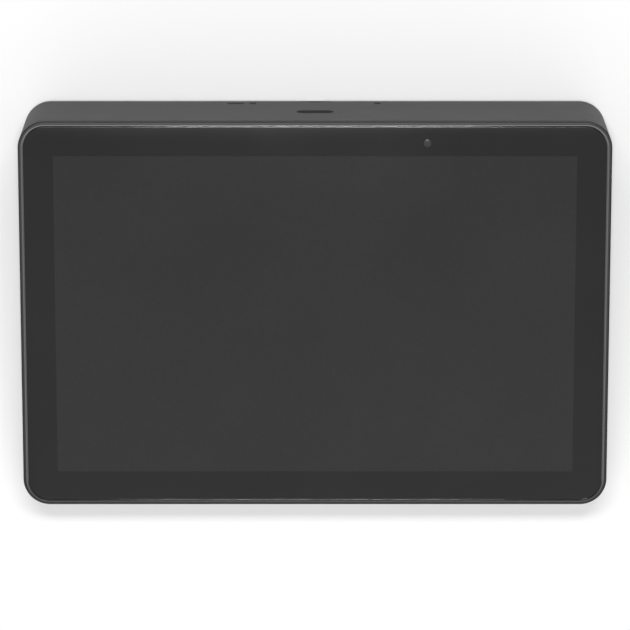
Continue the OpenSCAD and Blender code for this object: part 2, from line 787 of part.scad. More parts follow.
module cable_clamp() {
    color(black) difference() {
        translate([0, clamp_y, clamp_z - clamp_t]) plate(clamp_w, clamp_d, 1.5, clamp_t - 0.4);
        translate([0, clamp_y + clamp_d, clamp_z]) rotate([90, 0, 0]) cylinder(r = cable_r, h = 2 * clamp_d);
        for (s = [-1, 1]) translate([s * clamp_screw_x, clamp_y, 0]) cylinder(r = small_screw_r + 0.2, h = 20);
    }
}

// ---- Fasteners ----

module frame_screws() {
    color(steel) on_slope() for (s = [-1, 1], y = frame_screw_y)
        translate([s * frame_screw_x, y, tab_low]) rotate([180, 0, 0])
            screw(small_screw_r, small_head_r, 1.5, -rim_h - tab_low);
}

module base_screws() {
    color(steel) for (p = base_screws_at) translate([p[0], p[1], floor_z]) rotate([180, 0, 0])
        screw(base_screw_r, base_head_r, 1.6, seam_z - floor_z + insert_h - 0.2);
}

module thread_inserts() {
    color(brass) for (p = base_screws_at) translate([p[0], p[1], seam_z])
        tube_wall(insert_r - 0.02, base_screw_r + 0.02, insert_h);
}

module board_screws() {
    color(steel) at_board_corners() translate([0, 0, board_top])
        screw(small_screw_r, small_head_r, 1.4, board_top - floor_z);
}

module spreader_screws() {
    color(steel) at_spreader_feet() translate([0, 0, board_top + can_h + spreader_t])
        screw(small_screw_r, small_head_r, 1.2, can_h + spreader_t + board_t);
}

module ballast_screws() {
    color(steel) for (p = ballast_screws_at) translate([p[0], p[1], floor_z + ballast_t])
        screw(small_screw_r, 3.4, 1.4, ballast_t);
}

module tub_screws() {
    color(steel) for (s = [-1, 1], y = tub_ear_y) translate([s * tub_ear_x, y, floor_z + 3 + tub_t])
        screw(small_screw_r, small_head_r, 1.4, tub_t + 3);
}

module clamp_screws() {
    color(steel) for (s = [-1, 1]) translate([s * clamp_screw_x, clamp_y, clamp_z - clamp_t])
        rotate([180, 0, 0]) screw(small_screw_r, small_head_r, 1.3, clamp_t + 6);
}

rim_frame();
cover_glass();
glass_gasket();
touch_sensor();
lcd_cell();
lcd_backlight();
backlight_pads();
chassis_plate();
sensor_board();
touch_flex();
lcd_flex();
housing();
blank_badge();
lock_plate();
base_pan();
ballast_plate();
front_foot();
rear_foot_left();
rear_foot_right();
main_board();
processor();
thermal_pad();
shield_can();
heat_spreader();
wireless_module();
flex_connectors();
board_parts();
usb_c_socket();
hdmi_socket();
bay_tub();
bay_door();
cable_clamp();
frame_screws();
base_screws();
thread_inserts();
board_screws();
spreader_screws();
ballast_screws();
tub_screws();
clamp_screws();
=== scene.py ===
"""Looks of a tabletop smart display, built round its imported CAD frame.

Every length is in metres unless a name says otherwise. Places come from the frame's own boxes.
"""

import json
import logging
import math
from dataclasses import dataclass, field
from enum import Enum
from typing import Sequence

import bmesh
import bpy
from mathutils import Matrix, Vector


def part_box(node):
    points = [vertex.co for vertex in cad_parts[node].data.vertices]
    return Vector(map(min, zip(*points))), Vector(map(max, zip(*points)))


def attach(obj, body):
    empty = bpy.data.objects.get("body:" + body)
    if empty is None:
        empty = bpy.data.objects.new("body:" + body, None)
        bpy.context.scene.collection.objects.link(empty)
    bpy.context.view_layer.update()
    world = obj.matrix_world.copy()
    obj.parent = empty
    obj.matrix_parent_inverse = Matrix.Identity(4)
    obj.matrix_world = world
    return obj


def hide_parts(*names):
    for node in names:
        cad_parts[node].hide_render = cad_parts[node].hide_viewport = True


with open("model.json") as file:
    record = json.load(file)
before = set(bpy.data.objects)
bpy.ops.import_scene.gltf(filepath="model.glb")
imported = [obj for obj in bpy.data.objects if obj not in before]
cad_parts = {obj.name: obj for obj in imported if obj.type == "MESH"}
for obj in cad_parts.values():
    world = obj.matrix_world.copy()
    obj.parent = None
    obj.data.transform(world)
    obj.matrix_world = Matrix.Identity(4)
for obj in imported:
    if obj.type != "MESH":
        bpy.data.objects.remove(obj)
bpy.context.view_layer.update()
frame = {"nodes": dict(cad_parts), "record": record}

LOG = logging.getLogger("smart_display")
MM = 0.001
TINY = 0.001 * MM
CRISP_ANGLE = 32.0
Colour = tuple[float, float, float]
Profile = list[tuple[float, float]]
Socket = bpy.types.NodeSocket
Tree = bpy.types.NodeTree
Material = bpy.types.Material
Outputs = bpy.types.bpy_prop_collection


class Slot(Enum):
    """The record's material slots, one given with each new piece."""

    RIM = "rim_metal"
    GLASS = "screen_glass"
    FILM = "film"
    RUBBER = "foot_rubber"


def corners(points: Sequence[Vector]) -> tuple[Vector, Vector]:
    """Lowest and highest corners of the box round some points."""
    return Vector(map(min, zip(*points))), Vector(map(max, zip(*points)))


# ---- Where things are ----


@dataclass(frozen=True)
class Slope:
    """The screen's own frame: x across, y up the slope, z out of the glass.

    Attributes:
        centre: Middle of the cover glass, in the row frame.
        tilt: Slope of the screen in radians.
    """

    centre: Vector
    tilt: float

    @classmethod
    def of_frame(cls, record: dict) -> "Slope":
        """Reads the slope from the security slot's axis, which is square to the rear wall.

        Args:
            record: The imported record.

        Returns:
            The screen's frame.
        """
        slot = next(m for m in record["mounts"] if m["name"] == "security_slot")
        low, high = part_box("cover_glass")
        return cls((low + high) / 2, math.asin(slot["axis"][2]))

    def matrix(self) -> Matrix:
        """The screen's frame as a matrix."""
        return Matrix.Translation(self.centre) @ Matrix.Rotation(self.tilt, 4, "X")

    def size_of(self, node: str) -> Vector:
        """Size of a CAD node, measured along the screen's own axes."""
        low, high = self.box_of(node)
        return high - low

    def box_of(self, node: str) -> tuple[Vector, Vector]:
        """Lowest and highest corners of a CAD node, in the screen's frame."""
        turn = self.matrix().inverted()
        return corners([turn @ v.co for v in frame["nodes"][node].data.vertices])


def islands(node: str) -> list[tuple[Vector, Vector]]:
    """Boxes of the separate solids in a CAD node, such as each screw of its kind.

    Args:
        node: The CAD node's name.

    Returns:
        The corners of each solid's box, in the row frame.
    """
    mesh = bmesh.new()
    mesh.from_mesh(frame["nodes"][node].data)
    bmesh.ops.remove_doubles(mesh, verts=mesh.verts, dist=TINY)
    boxes = []
    left = set(mesh.verts)
    for first in mesh.verts:
        solid = [first] if first in left else []
        left.discard(first)
        for vertex in solid:
            fresh = {edge.other_vert(vertex) for edge in vertex.link_edges} & left
            left -= fresh
            solid.extend(fresh)
        if solid:
            boxes.append(corners([vertex.co for vertex in solid]))
    mesh.free()
    return boxes


# ---- Meshes ----


def shade_by_angle(mesh: bmesh.types.BMesh, degrees: float = CRISP_ANGLE) -> None:
    """Smooths every face and keeps edges sharper than an angle crisp.

    Args:
        mesh: The mesh to shade.
        degrees: Edges that turn more than this stay sharp.
    """
    limit = math.radians(degrees)
    for face in mesh.faces:
        face.smooth = True
    for edge in mesh.edges:
        if len(edge.link_faces) == 2:
            edge.smooth = edge.calc_face_angle(0.0) < limit


def finish_mesh(
        mesh: bmesh.types.BMesh, name: str, place: Matrix, sharp: float = CRISP_ANGLE) -> bpy.types.Object:
    """Turns a bmesh into an object in the scene.

    Args:
        mesh: The mesh, in its own frame.
        name: Name of the piece.
        place: Matrix from the mesh's frame to the row frame.
        sharp: Edges that turn more than this many degrees stay crisp.

    Returns:
        The new object, with its place in its mesh.
    """
    bmesh.ops.recalc_face_normals(mesh, faces=mesh.faces)
    shade_by_angle(mesh, sharp)
    mesh.transform(place)
    data = bpy.data.meshes.new(name)
    mesh.to_mesh(data)
    mesh.free()
    piece = bpy.data.objects.new(name, data)
    bpy.context.scene.collection.objects.link(piece)
    return piece


def rounded_outline(width: float, depth: float, radius: float, steps: int) -> Profile:
    """Points of a rounded rectangle, anticlockwise from its right side.

    Args:
        width: Size along x.
        depth: Size along y.
        radius: Corner radius.
        steps: Segments in each corner.

    Returns:
        The outline's points.
    """
    radius = max(min(radius, width / 2 - TINY, depth / 2 - TINY), TINY)
    points = []
    corners = ((1, 1, 0), (-1, 1, 90), (-1, -1, 180), (1, -1, 270))
    for sx, sy, start in corners:
        for i in range(steps + 1):
            a = math.radians(start + 90 * i / steps)
            x = sx * (width / 2 - radius) + radius * math.cos(a)
            y = sy * (depth / 2 - radius) + radius * math.sin(a)
            points.append((x, y))
    return points


@dataclass
class Lathe:
    """A rounded rectangle lofted through a list of insets and heights.

    Attributes:
        width: Width of the outline at inset 0.
        depth: Depth of the outline at inset 0.
        radius: Corner radius at inset 0.
        profile: Pairs of inset and height, from the underside to the top.
        steps: Segments in each corner.
        ring: True joins the last pair to the first, as in a frame; False closes both ends.
        sharp: Edges that turn more than this many degrees stay crisp.
    """

    width: float
    depth: float
    radius: float
    profile: Profile
    steps: int = 14
    ring: bool = False
    sharp: float = CRISP_ANGLE

    def build(self, name: str, place: Matrix) -> bpy.types.Object:
        """Builds the piece.

        Args:
            name: Name of the piece.
            place: Matrix from the outline's frame to the row frame.

        Returns:
            The new object.
        """
        mesh = bmesh.new()
        loops = []
        for inset, height in self.profile:
            outline = rounded_outline(
                self.width - 2 * inset, self.depth - 2 * inset, self.radius - inset, self.steps)
            loops.append([mesh.verts.new((x, y, height)) for x, y in outline])
        pairs = list(zip(loops, loops[1:]))
        if self.ring:
            pairs.append((loops[-1], loops[0]))
        for lower, upper in pairs:
            for i in range(len(lower)):
                j = (i + 1) % len(lower)
                mesh.faces.new((lower[i], lower[j], upper[j], upper[i]))
        if not self.ring:
            mesh.faces.new(list(reversed(loops[0])))
            mesh.faces.new(loops[-1])
        return finish_mesh(mesh, name, place, self.sharp)


def arc(inset: float, height: float, radius: float, start: float, end: float, steps: int) -> Profile:
    """Points of an arc in a profile, in inset and height.

    Args:
        inset: Inset of the arc's centre.
        height: Height of the arc's centre.
        radius: Radius of the arc.
        start: First angle in degrees, from the outward direction towards the top.
        end: Last angle in degrees.
        steps: Number of segments.

    Returns:
        The arc's points.
    """
    turns = [math.radians(start + (end - start) * i / steps) for i in range(steps + 1)]
    return [(inset - radius * math.cos(a), height + radius * math.sin(a)) for a in turns]


# ---- Shader nodes ----


class Graph:
    """Adds and joins the nodes of one shader tree."""

    def __init__(self, tree: Tree) -> None:
        """Starts on a tree that new nodes go into."""
        self.tree = tree

    def put(self, value: object, socket: Socket) -> None:
        """Links an output to an input, or sets the input to a plain value.

        Args:
            value: A node's output, or a value.
            socket: The input.
        """
        if isinstance(value, Socket):
            self.tree.links.new(value, socket)
        else:
            socket.default_value = value

    def add(self, kind: str, inputs: dict | None = None, **settings: object) -> bpy.types.Node:
        """Adds a node, sets it up and links its inputs.

        Args:
            kind: Blender's name for the node, without the ShaderNode prefix.
            inputs: Socket name or number to a value or to another node's output.
            **settings: Properties of the node itself.

        Returns:
            The new node.
        """
        node = self.tree.nodes.new("ShaderNode" + kind)
        for key, value in settings.items():
            setattr(node, key, value)
        for key, value in (inputs or {}).items():
            self.put(value, node.inputs[key])
        return node

    def place(self) -> Socket:
        """Where a point is on the object, in metres."""
        return self.add("TexCoord").outputs["Object"]

    def noise(self, place: Socket, scale: object, detail: float, **more: float) -> Socket:
        """Adds a Noise texture.

        Args:
            place: Where it is read.
            scale: Its waves in a metre.
            detail: Its octaves.
            **more: Its other inputs.

        Returns:
            The noise, from 0 to 1.
        """
        return self.add("TexNoise", {"Vector": place, "Scale": scale, "Detail": detail, **more}).outputs[0]

    def maths(self, operation: str, first: object, second: object = 0.0) -> Socket:
        """Adds a Math node.

        Args:
            operation: The node's operation.
            first: A number or an output.
            second: A number or an output.

        Returns:
            The result's socket.
        """
        return self.add("Math", {0: first, 1: second}, operation=operation).outputs[0]

    def times(self, first: object, second: object) -> Socket:
        """Multiplies two numbers or outputs."""
        return self.maths("MULTIPLY", first, second)

    def scaled(self, colour: object, gain: Socket) -> Socket:
        """Multiplies a colour by a number."""
        return self.add("VectorMath", {0: colour, "Scale": gain}, operation="SCALE").outputs[0]

    def blend(self, factor: object, first: object, second: object) -> Socket:
        """Mixes two colours.

        Args:
            factor: A number or an output.
            first: A colour or an output.
            second: A colour or an output.

        Returns:
            The mixed colour's socket.
        """
        return self.add("Mix", {0: factor, 6: first, 7: second}, data_type="RGBA").outputs[2]

    def span(self, value: Socket, low: float, high: float,
             to_low: float = 0.0, to_high: float = 1.0) -> Socket:
        """Maps a value from one range to another, and keeps it inside.

        Args:
            value: The value's output.
            low: Start of its range.
            high: End of its range.
            to_low: Result at the start.
            to_high: Result at the end.

        Returns:
            The result's socket.
        """
        return self.add("MapRange", {0: value, 1: low, 2: high, 3: to_low, 4: to_high}).outputs[0]

    def group(self, tree: Tree, **values: object) -> Outputs:
        """Places a node group and sets its inputs by name, with _ for a space.

        Args:
            tree: The group's tree.
            **values: A value or an output for each input.

        Returns:
            The group's outputs.
        """
        node = self.tree.nodes.new("ShaderNodeGroup")
        node.node_tree = tree
        for key, value in values.items():
            self.put(value, node.inputs[key.replace("_", " ")])
        return node.outputs


def rgba(colour: Colour) -> tuple[float, float, float, float]:
    """Adds an alpha of 1 to a colour."""
    return (*colour, 1.0)


class GroupMaker:
    """Makes a shader group with named sockets, once."""

    def __init__(self, name: str, inputs: dict[str, tuple[str, object]], outputs: dict[str, str]) -> None:
        """Makes the group's tree and sockets.

        Args:
            name: The group's name.
            inputs: Name to socket type and default value.
            outputs: Name to socket type.
        """
        self.tree = bpy.data.node_groups.new(name, "ShaderNodeTree")
        self.graph = Graph(self.tree)
        for key, (kind, value) in inputs.items():
            socket = self.tree.interface.new_socket(key, in_out="INPUT", socket_type="NodeSocket" + kind)
            socket.default_value = value
        for key, kind in outputs.items():
            self.tree.interface.new_socket(key, in_out="OUTPUT", socket_type="NodeSocket" + kind)
        self.given = self.tree.nodes.new("NodeGroupInput").outputs
        self.result = self.tree.nodes.new("NodeGroupOutput")

    def out(self, name: str, socket: Socket) -> None:
        """Joins a result to one of the group's outputs."""
        self.tree.links.new(socket, self.result.inputs[name])


def make_grain() -> Tree:
    """Fine spark-eroded grain of a moulded or blasted surface, with slow patches of colour.

    Returns:
        A group with a varied colour, a roughness and a height.
    """
    maker = GroupMaker(
        "surface_grain",
        {"Colour": ("Color", (0.1, 0.1, 0.1, 1.0)), "Roughness": ("Float", 0.5),
         "Grains Per Metre": ("Float", 3000.0), "Contrast": ("Float", 0.2), "Patches": ("Float", 0.1)},
        {"Colour": "Color", "Roughness": "Float", "Height": "Float"})
    graph, given = maker.graph, maker.given
    fine_share, mean_height, patches_per_metre, patch_roughness = 0.7, 0.42, 38.0, 0.6
    place = graph.place()
    fine = graph.noise(place, given["Grains Per Metre"], 3.0, Roughness=0.62)
    cells = graph.add("TexVoronoi", {"Vector": place, "Scale": given["Grains Per Metre"]},
                      feature="SMOOTH_F1")
    height = graph.maths("ADD", graph.times(fine, fine_share),
                         graph.times(cells.outputs["Distance"], 1 - fine_share))
    slow = graph.noise(place, patches_per_metre, 4.0, Roughness=0.6)
    wave = graph.times(graph.maths("SUBTRACT", height, mean_height), given["Contrast"])
    patch = graph.times(graph.maths("SUBTRACT", slow, 0.5), given["Patches"])
    gain = graph.maths("ADD", 1.0, graph.maths("ADD", wave, patch))
    rough = graph.maths("ADD", given["Roughness"], graph.times(patch, patch_roughness))
    maker.out("Colour", graph.scaled(given["Colour"], gain))
    maker.out("Roughness", rough)
    maker.out("Height", height)
    return maker.tree


def make_edge_wear() -> Tree:
    """Edges rubbed a little lighter and smoother by handling.

    Returns:
        A group with a mask of the worn edges and the softened normal.
    """
    maker = GroupMaker(
        "edge_wear",
        {"Radius": ("Float", 0.0004), "Amount": ("Float", 0.5), "Breakup Per Metre": ("Float", 260.0)},
        {"Mask": "Float", "Normal": "Vector"})
    graph, given = maker.graph, maker.given
    turned, broken, least_wear = (0.02, 0.25), (0.42, 0.62), 0.15
    soft = graph.add("Bevel", {"Radius": given["Radius"]}, samples=4).outputs[0]
    plain = graph.add("NewGeometry").outputs["Normal"]
    facing = graph.add("VectorMath", {0: soft, 1: plain}, operation="DOT_PRODUCT").outputs["Value"]
    edge = graph.span(graph.maths("SUBTRACT", 1.0, facing), *turned)
    noise = graph.noise(graph.place(), given["Breakup Per Metre"], 5.0)
    worn = graph.times(edge, graph.span(noise, *broken, least_wear, 1.0))
    maker.out("Mask", graph.times(worn, given["Amount"]))
    maker.out("Normal", soft)
    return maker.tree


def make_dust() -> Tree:
    """Thin dust that settles on what faces up.

    Returns:
        A group with a mask of the dust.
    """
    maker = GroupMaker(
        "settled_dust",
        {"Amount": ("Float", 0.04), "Specks Per Metre": ("Float", 900.0)},
        {"Mask": "Float"})
    graph, given = maker.graph, maker.given
    upward, speck, film, film_share, films_per_metre = (0.15, 0.9), (0.55, 0.75), (0.35, 0.7), 0.5, 22.0
    normal = graph.add("NewGeometry").outputs["Normal"]
    facing = graph.span(graph.add("SeparateXYZ", {0: normal}).outputs["Z"], *upward)
    place = graph.place()
    specks = graph.span(graph.noise(place, given["Specks Per Metre"], 6.0), *speck)
    films = graph.span(graph.noise(place, films_per_metre, 3.0), *film, 0.0, film_share)
    spread = graph.times(facing, graph.maths("ADD", specks, films))
    maker.out("Mask", graph.times(spread, given["Amount"]))
    return maker.tree


def make_brushing() -> Tree:
    """Long fine scratches of rolled or brushed metal.

    Returns:
        A group with a streak value and a height.
    """
    maker = GroupMaker(
        "brushing",
        {"Stretch": ("Vector", (0.04, 1.0, 1.0)), "Lines Per Metre": ("Float", 2600.0)},
        {"Streak": "Float", "Height": "Float"})
    graph, given = maker.graph, maker.given
    streak = (0.3, 0.7)
    drawn = graph.add("VectorMath", {0: graph.place(), 1: given["Stretch"]}, operation="MULTIPLY")
    lines = graph.noise(drawn.outputs[0], given["Lines Per Metre"], 4.0, Roughness=0.55)
    maker.out("Streak", graph.span(lines, *streak))
    maker.out("Height", lines)
    return maker.tree


def make_outline_distance() -> Tree:
    """Distance of a point from a rounded rectangle that lies on the screen's slope.

    Returns:
        A group with a distance that is negative inside the rectangle.
    """
    maker = GroupMaker(
        "outline_distance",
        {"Centre": ("Vector", (0.0, 0.0, 0.0)), "Tilt": ("Float", 0.0),
         "Half Size": ("Vector", (0.1, 0.1, 0.0)), "Corner": ("Float", 0.01)},
        {"Distance": "Float"})
    graph, given = maker.graph, maker.given
    moved = graph.add("VectorMath", {0: graph.place(), 1: given["Centre"]}, operation="SUBTRACT")
    back = graph.times(given["Tilt"], -1.0)
    turned = graph.add("VectorRotate", {"Vector": moved.outputs[0], "Angle": back}, rotation_type="X_AXIS")
    away = graph.add("VectorMath", {0: turned.outputs[0]}, operation="ABSOLUTE")
    beyond = graph.add("VectorMath", {0: away.outputs[0], 1: given["Half Size"]}, operation="SUBTRACT")
    parts = graph.add("SeparateXYZ", {0: beyond.outputs[0]}).outputs
    across, along = (graph.maths("ADD", parts[axis], given["Corner"]) for axis in ("X", "Y"))
    squares = [graph.maths("POWER", graph.maths("MAXIMUM", side, 0.0), 2.0) for side in (across, along)]
    round_part = graph.maths("SQRT", graph.maths("ADD", *squares))
    flat_part = graph.maths("MINIMUM", graph.maths("MAXIMUM", across, along), 0.0)
    total = graph.maths("ADD", round_part, flat_part)
    maker.out("Distance", graph.maths("SUBTRACT", total, given["Corner"]))
    return maker.tree


@dataclass
class Effects:
    """The shader groups that the materials share."""

    grain: Tree = field(default_factory=make_grain)
    wear: Tree = field(default_factory=make_edge_wear)
    dust: Tree = field(default_factory=make_dust)
    brushing: Tree = field(default_factory=make_brushing)
    outline: Tree = field(default_factory=make_outline_distance)


# ---- Finishes ----

DUST: Colour = (0.42, 0.40, 0.37)
LINT: Colour = (0.5, 0.5, 0.5)
GREY: Colour = (0.6, 0.6, 0.6)


class Paint(Graph):
    """The graph of one new material, with its Principled shader and the shared groups."""

    def __init__(self, name: str, effects: Effects) -> None:
        """Makes the empty material.

        Args:
            name: The material's name.
            effects: The shared groups.
        """
        self.material = bpy.data.materials.new(name)
        self.material.use_nodes = True
        super().__init__(self.material.node_tree)
        self.tree.nodes.clear()
        self.effects = effects
        self.shader = self.add("BsdfPrincipled")
        self.output = self.add("OutputMaterial", {0: self.shader.outputs[0]})

    def fix(self, **values: object) -> None:
        """Sets the shader's own sockets to constants, with _ for a space."""
        for key, value in values.items():
            self.put(value, self.shader.inputs[key.replace("_", " ")])

    def join(self, colour: Socket, rough: Socket, **bump: object) -> None:
        """Joins a colour, a roughness and a bump to the shader.

        Args:
            colour: The colour's output.
            rough: The roughness's output.
            **bump: The Bump node's inputs.
        """
        normal = self.add("Bump", bump).outputs[0]
        for name, value in (("Base Color", colour), ("Roughness", rough), ("Normal", normal)):
            self.put(value, self.shader.inputs[name])


@dataclass(frozen=True)
class Finish:
    """What every finish shares.

    Attributes:
        name: The material's name.
    """

    name: str

    def paint(self, graph: Paint) -> None:
        """Paints the material, in every finish's own way."""
        raise NotImplementedError


@dataclass(frozen=True)
class MouldedPlastic(Finish):
    """Plastic from a textured mould, rubbed at its edges and lightly dusty.

    Attributes:
        colour: Its own colour.
        roughness: Its roughness.
        grains: Grains in a metre.
        bump: Depth of the grain in metres.
        wear: How far its edges are rubbed, from 0 to 1.
        dust: How much dust lies on what faces up, from 0 to 1.
        edge: Radius that its edges are softened by.
        ior: Its refractive index; less mirrors less at a grazing view.
    """

    colour: Colour
    roughness: float
    grains: float = 2600.0
    bump: float = 0.04 * MM
    wear: float = 0.0
    dust: float = 0.0
    edge: float = 0.3 * MM
    ior: float = 1.46

    def paint(self, graph: Paint) -> None:
        """Paints the surface.

        Args:
            graph: The new material's graph.
        """
        graph.fix(IOR=self.ior)
        rub_gain, rub_lift, rub_polish = 1.9, 0.02, 0.12
        grain = graph.group(graph.effects.grain, Colour=rgba(self.colour), Roughness=self.roughness,
                            Grains_Per_Metre=self.grains, Contrast=0.3, Patches=0.22)
        wear = graph.group(graph.effects.wear, Radius=self.edge, Amount=self.wear)
        dust = graph.group(graph.effects.dust, Amount=self.dust)
        rubbed = tuple(min(1.0, c * rub_gain + rub_lift) for c in self.colour)
        worn = graph.blend(wear["Mask"], grain["Colour"], rgba(rubbed))
        dusty = graph.blend(dust["Mask"], worn, rgba(DUST))
        polish = graph.times(wear["Mask"], rub_polish)
        smooth = graph.maths("SUBTRACT", grain["Roughness"], polish)
        graph.join(dusty, smooth, Height=grain["Height"], Strength=1.0, Distance=self.bump,
                   Normal=wear["Normal"])


@dataclass(frozen=True)
class RimMetal(Finish):
    """Bead-blasted and dyed metal, brighter where its inner chamfer was cut after dyeing.

    Attributes:
        slope: The screen's frame.
        half_size: Half width and half depth of the rim's outer outline.
        corner: Corner radius of that outline.
        cut_inset: Distance from the outline to the chamfer's outer edge.
        colour: Colour of the dyed metal.
        cut_colour: Colour of the cut chamfer.
        roughness: Roughness of the blasted metal.
        cut_roughness: Roughness of the chamfer.
        cut_blur: Widths inside and outside the chamfer's edge over which the cut starts.
        smooth_band: Width beside the chamfer over which the blasting fades out.
        cut_bump: Share of the blasted bump that is left on the chamfer.
    """

    slope: Slope
    half_size: tuple[float, float]
    corner: float
    cut_inset: float
    colour: Colour = (0.042, 0.042, 0.0432)
    cut_colour: Colour = (0.22, 0.22, 0.224)
    roughness: float = 0.42
    cut_roughness: float = 0.075
    cut_blur: tuple[float, float] = (0.04 * MM, 0.02 * MM)
    smooth_band: float = 0.7 * MM
    cut_bump: float = 0.02

    def paint(self, graph: Paint) -> None:
        """Paints the surface.

        Args:
            graph: The new material's graph.
        """
        graph.fix(Metallic=0.9, IOR=1.5, Specular_Tint=rgba(GREY))
        grain = graph.group(graph.effects.grain, Colour=rgba(self.colour), Roughness=self.roughness,
                            Grains_Per_Metre=5200.0, Contrast=0.22, Patches=0.14)
        outline = graph.group(graph.effects.outline, Centre=tuple(self.slope.centre), Tilt=self.slope.tilt,
                              Half_Size=(*self.half_size, 0.0), Corner=self.corner)
        edge = -self.cut_inset
        inner, outer = self.cut_blur
        cut = graph.span(outline["Distance"], edge - inner, edge + outer, 1.0, 0.0)
        colour = graph.blend(cut, grain["Colour"], rgba(self.cut_colour))
        blasted = graph.times(grain["Roughness"], graph.maths("SUBTRACT", 1.0, cut))
        rough = graph.maths("ADD", blasted, graph.times(cut, self.cut_roughness))
        depth = graph.span(outline["Distance"], edge, edge + self.smooth_band, self.cut_bump, 1.0)
        height = graph.times(grain["Height"], depth)
        graph.join(colour, rough, Height=height, Strength=1.0, Distance=0.02 * MM)


@dataclass(frozen=True)
class SheetMetal(Finish):
    """Rolled, plated or machined metal with drawn lines.

    Attributes:
        colour: Colour of the metal.
        roughness: Its middle roughness.
        stretch: How far the lines are stretched along each axis; less is longer.
        lines: Lines in a metre.
    """

    colour: Colour
    roughness: float = 0.35
    stretch: tuple[float, float, float] = (0.04, 1.0, 1.0)
    lines: float = 2600.0

    def paint(self, graph: Paint) -> None:
        """Paints the surface.

        Args:
            graph: The new material's graph.
        """
        graph.fix(Metallic=1.0)
        lines = graph.group(graph.effects.brushing, Stretch=self.stretch, Lines_Per_Metre=self.lines)
        grain = graph.group(graph.effects.grain, Colour=rgba(self.colour), Roughness=self.roughness,
                            Grains_Per_Metre=900.0, Contrast=0.15, Patches=0.2)
        streak_colour, streak_share, streak_roughness = 0.82, 0.4, 0.08
        dark = rgba(tuple(c * streak_colour for c in self.colour))
        drawn = graph.blend(graph.times(lines["Streak"], streak_share), grain["Colour"], dark)
        streaks = graph.times(lines["Streak"], streak_roughness)
        rough = graph.maths("ADD", grain["Roughness"], streaks)
        graph.join(drawn, rough, Height=lines["Height"], Strength=0.6, Distance=0.01 * MM)


@dataclass(frozen=True)
class ScreenGlass(Finish):
    """Satin cover glass over a black print, with the dark picture area showing through.

    Attributes:
        slope: The screen's frame.
        picture: Half width and half height of the picture.
        print_colour: Colour of the black print.
        picture_colour: Colour of the dark picture.
        roughness: Roughness of the satin etch.
        wiped: How far wiping changes that roughness.
        tint: Least and greatest gain of the colour.
        blur: Half width of the picture's soft edge.
    """

    slope: Slope
    picture: tuple[float, float]
    print_colour: Colour = (0.003, 0.003, 0.0031)
    picture_colour: Colour = (0.0115, 0.0115, 0.0118)
    roughness: float = 0.16
    wiped: float = 0.01
    tint: tuple[float, float] = (0.94, 1.06)
    blur: float = 0.08 * MM

    def paint(self, graph: Paint) -> None:
        """Paints the surface.

        Args:
            graph: The new material's graph.
        """
        graph.fix(IOR=1.5)
        place = graph.place()
        outline = graph.group(graph.effects.outline, Centre=tuple(self.slope.centre), Tilt=self.slope.tilt,
                              Half_Size=(*self.picture, 0.0), Corner=0.1 * MM)
        inside = graph.span(outline["Distance"], -self.blur, self.blur, 1.0, 0.0)
        colour = graph.blend(inside, rgba(self.print_colour), rgba(self.picture_colour))
        clouds, wipes, pits = 420.0, 26.0, 9000.0
        varied = graph.scaled(colour, graph.span(graph.noise(place, clouds, 3.0), 0.3, 0.7, *self.tint))
        dust = graph.group(graph.effects.dust, Amount=0.008, Specks_Per_Metre=1800.0)
        dusty = graph.blend(dust["Mask"], varied, rgba(LINT))
        wipe = graph.noise(place, wipes, 5.0, Distortion=0.6)
        rough = graph.span(wipe, 0.35, 0.68, self.roughness - self.wiped, self.roughness + self.wiped)
        etch = graph.noise(place, pits, 2.0)
        graph.join(dusty, rough, Height=etch, Strength=0.5, Distance=0.004 * MM)


@dataclass(frozen=True)
class CircuitBoard(Finish):
    """Solder mask over copper tracks, with bright pads.

    Attributes:
        mask: Colour of the solder mask.
        track: Colour of the mask over copper.
        pad: Colour of the tinned pads.
    """

    mask: Colour = (0.008, 0.05, 0.028)
    track: Colour = (0.02, 0.11, 0.06)
    pad: Colour = (0.5, 0.46, 0.36)

    def paint(self, graph: Paint) -> None:
        """Paints the surface.

        Args:
            graph: The new material's graph.
        """
        graph.fix(IOR=1.5, Coat_Weight=0.4, Coat_Roughness=0.15)
        track_edge, lane_share, pad_edge, pad_share = (0.03, 0.05), 0.7, (0.12, 0.16), 0.6
        rough_mask, rough_pad = 0.38, 0.25
        place = graph.place()
        cells = graph.add("TexVoronoi", {"Vector": place, "Scale": 260.0, "Randomness": 0.8},
                          feature="DISTANCE_TO_EDGE", distance="CHEBYCHEV")
        lanes = graph.add("TexBrick", {"Vector": place, "Scale": 420.0, "Mortar Size": 0.06})
        tracks = graph.maths("MAXIMUM", graph.span(cells.outputs[0], *track_edge, 1.0, 0.0),
                             graph.times(lanes.outputs["Fac"], lane_share))
        dots = graph.add("TexVoronoi", {"Vector": place, "Scale": 520.0, "Randomness": 0.3})
        pads = graph.span(dots.outputs["Distance"], *pad_edge, 1.0, 0.0)
        masked = graph.blend(tracks, rgba(self.mask), rgba(self.track))
        colour = graph.blend(graph.times(pads, pad_share), masked, rgba(self.pad))
        rough = graph.span(pads, 0.0, 1.0, rough_mask, rough_pad)
        graph.join(colour, rough, Height=tracks, Strength=0.6, Distance=0.03 * MM)


